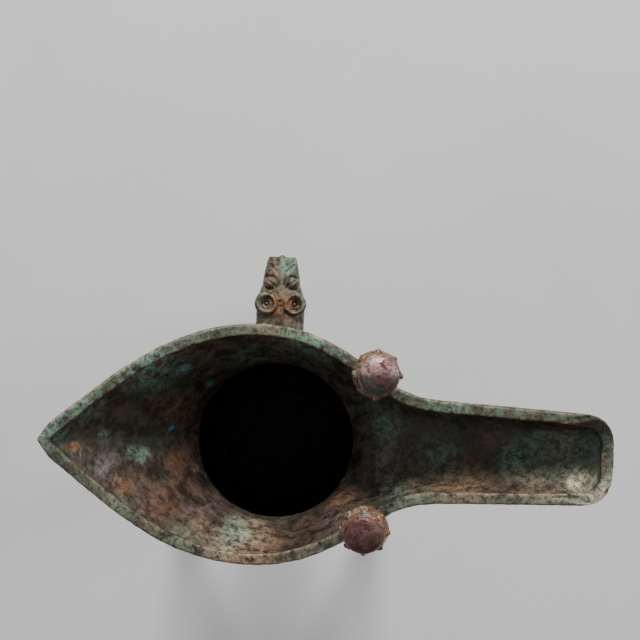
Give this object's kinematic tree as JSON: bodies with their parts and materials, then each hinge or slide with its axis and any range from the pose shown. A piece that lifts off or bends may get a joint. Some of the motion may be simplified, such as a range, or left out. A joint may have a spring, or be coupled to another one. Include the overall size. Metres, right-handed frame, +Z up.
{
  "type": "tripod libation cup",
  "caption": "Waisted bronze cup on blade legs, with a channel spout, a pointed tail, capped posts on the rim and a strap handle under an animal head.",
  "frame": {"origin": "on the surface that the feet stand on, under the middle of the whole cup's box", "axes": "+X from the tail to the spout, +Y from the cup towards the handle, +Z up"},
  "size_m": [0.17, 0.0932, 0.1972],
  "materials": {
    "cup_bronze": "dark brown bronze patina with green copper corrosion",
    "leg_bronze": "dark bronze patina, green in the hollows",
    "handle_bronze": "olive and mint green patina over brown bronze",
    "post_bronze": "dark bronze patina",
    "cap_bronze": "glossy red-brown oxide with green in the grooves",
    "core_clay": "matt fired clay"
  },
  "bodies": {
    "root": {"cup_body": "cup_bronze", "leg_handle_side": "leg_bronze", "leg_tail_side": "leg_bronze", "leg_spout_side": "leg_bronze", "handle_strap": "handle_bronze", "handle_head": "handle_bronze", "post_handle_side": "post_bronze", "post_far_side": "post_bronze", "cap_handle_side": "cap_bronze", "cap_far_side": "cap_bronze", "cap_core_handle_side": "core_clay", "cap_core_far_side": "core_clay"}
  },
  "joints": []
}
